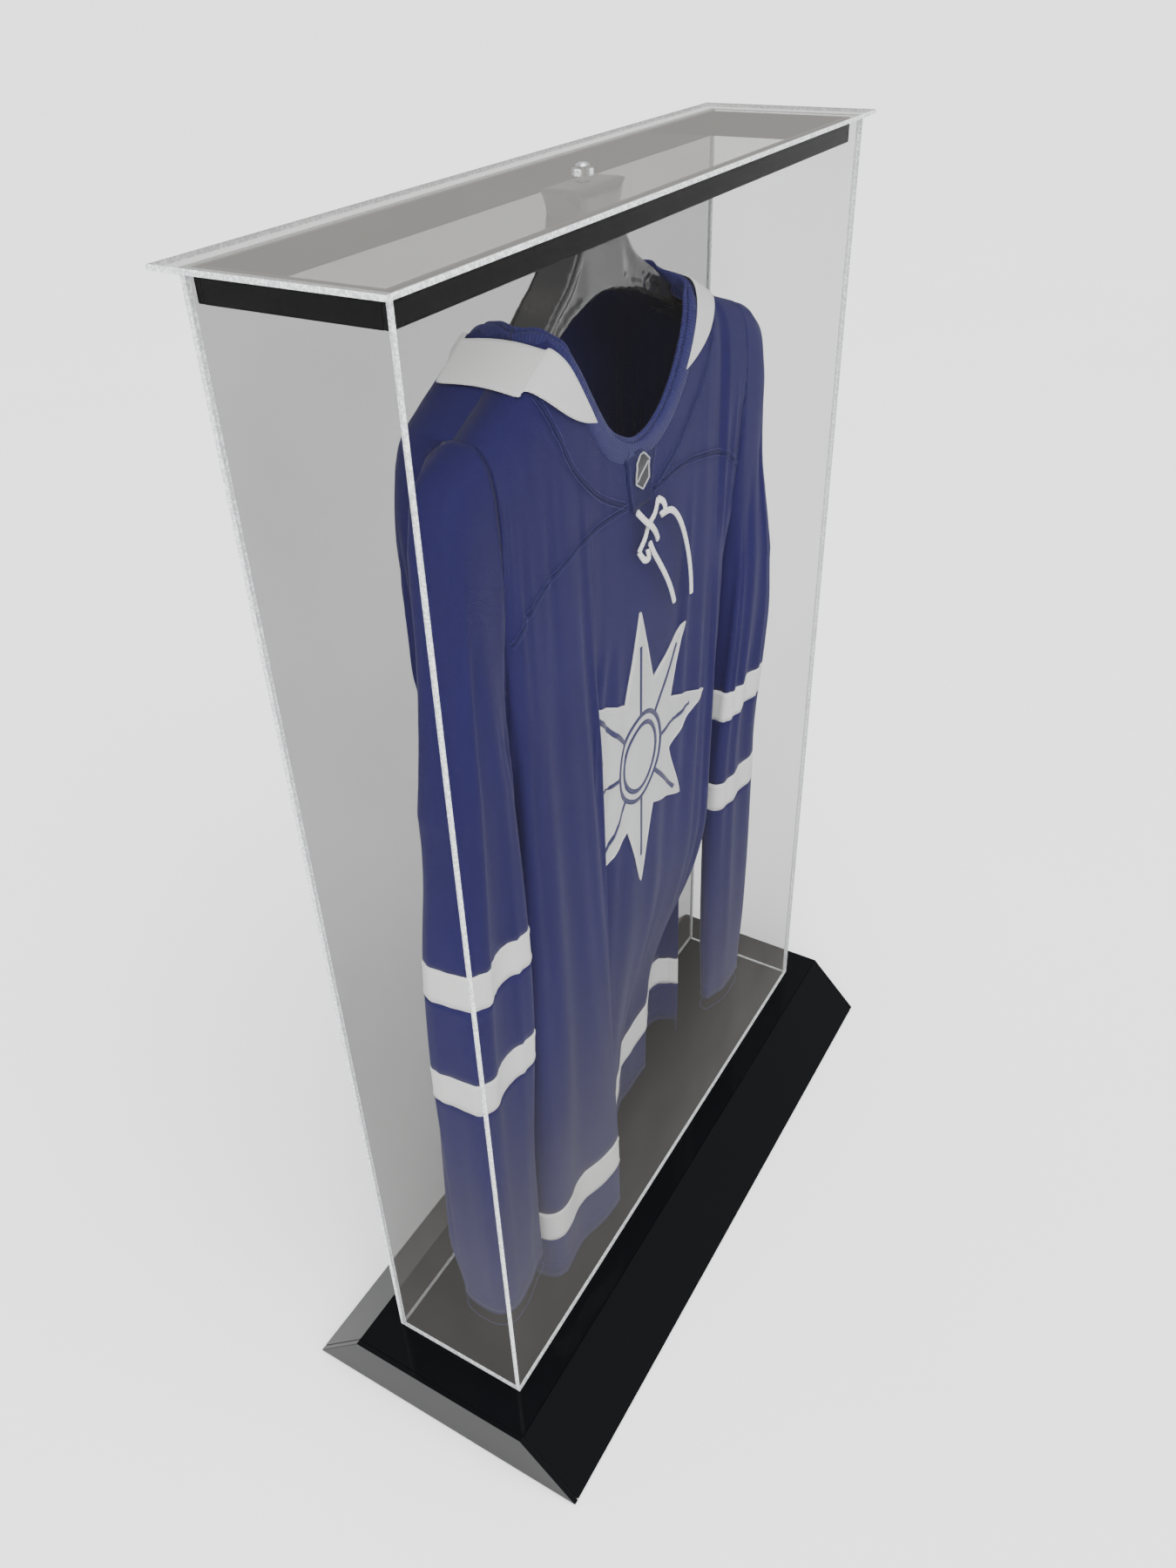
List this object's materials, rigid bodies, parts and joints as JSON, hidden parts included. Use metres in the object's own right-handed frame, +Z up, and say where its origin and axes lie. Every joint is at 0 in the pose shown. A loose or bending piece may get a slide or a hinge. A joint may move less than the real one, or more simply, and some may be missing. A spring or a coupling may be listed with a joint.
{
  "type": "jersey display case",
  "caption": "Tall clear display case on a black bevelled base, with a loose lid that carries a hanger and a hung hockey jersey.",
  "frame": {"origin": "on the surface the case stands on, under the middle of the base", "axes": "+Z up, +X to the right seen from the front, front of the case towards -Y"},
  "size_m": [0.684, 0.29, 1.0156],
  "materials": {
    "clear_acrylic": "clear cast sheet, polished faces and flame-polished edges",
    "black_acrylic": "black cast sheet, high gloss",
    "rubber": "moulded bumper, matt",
    "hanger_plastic": "moulded black plastic, glossy",
    "screw_steel": "plated steel",
    "insert_brass": "turned brass",
    "blue_knit": "dense polyester double knit, deep blue",
    "white_knit": "dense polyester double knit, white",
    "crest_twill": "layered twill with stitched edges",
    "label_cloth": "woven black label",
    "lace_braid": "flat white braid"
  },
  "bodies": {
    "case": {"back_panel": "clear_acrylic", "base_back_bevel": "black_acrylic", "base_bottom_panel": "black_acrylic", "base_front_bevel": "black_acrylic", "base_left_end": "black_acrylic", "base_right_end": "black_acrylic", "base_top_plate": "black_acrylic", "foot_back_left": "rubber", "foot_back_right": "rubber", "foot_front_left": "rubber", "foot_front_right": "rubber", "front_panel": "clear_acrylic", "left_panel": "clear_acrylic", "right_panel": "clear_acrylic"},
    "lid": {"band_back": "black_acrylic", "band_front": "black_acrylic", "band_left": "black_acrylic", "band_right": "black_acrylic", "lid_plate": "clear_acrylic", "hanger_boss": "clear_acrylic", "hanger_screw": "screw_steel"},
    "hanger": {"collar_back": "blue_knit", "collar_front": "blue_knit", "crest": "crest_twill", "cuff_tag": "white_knit", "hanger": "hanger_plastic", "jersey_back": "blue_knit", "jersey_back_hem": "blue_knit", "jersey_back_hem_stripe": "white_knit", "jersey_front": "blue_knit", "jersey_front_hem": "blue_knit", "jersey_front_hem_stripe": "white_knit", "lace_cross": "lace_braid", "lace_tail_left": "lace_braid", "lace_tail_right": "lace_braid", "neck_insert_left": "white_knit", "neck_insert_right": "white_knit", "neck_patch": "label_cloth", "neck_placket": "blue_knit", "shoulder_left": "blue_knit", "shoulder_right": "blue_knit", "size_label": "label_cloth", "sleeve_left": "blue_knit", "sleeve_left_cuff": "blue_knit", "sleeve_left_high_stripe": "white_knit", "sleeve_left_low_stripe": "white_knit", "sleeve_left_middle": "blue_knit", "sleeve_right": "blue_knit", "sleeve_right_cuff": "blue_knit", "sleeve_right_high_stripe": "white_knit", "sleeve_right_low_stripe": "white_knit", "sleeve_right_middle": "blue_knit", "threaded_insert": "insert_brass"}
  },
  "joints": [
    {"name": "lid_lift", "type": "slide", "parent": "case", "child": "lid", "axis": [0, 0, 1], "range_m": [0, 0.93]},
    {"name": "hanger_swivel", "type": "hinge", "parent": "lid", "child": "hanger", "pos_m": [-0.03, -0.005, 1], "axis": [0, 0, 1], "range_deg": [-1, 1]}
  ]
}
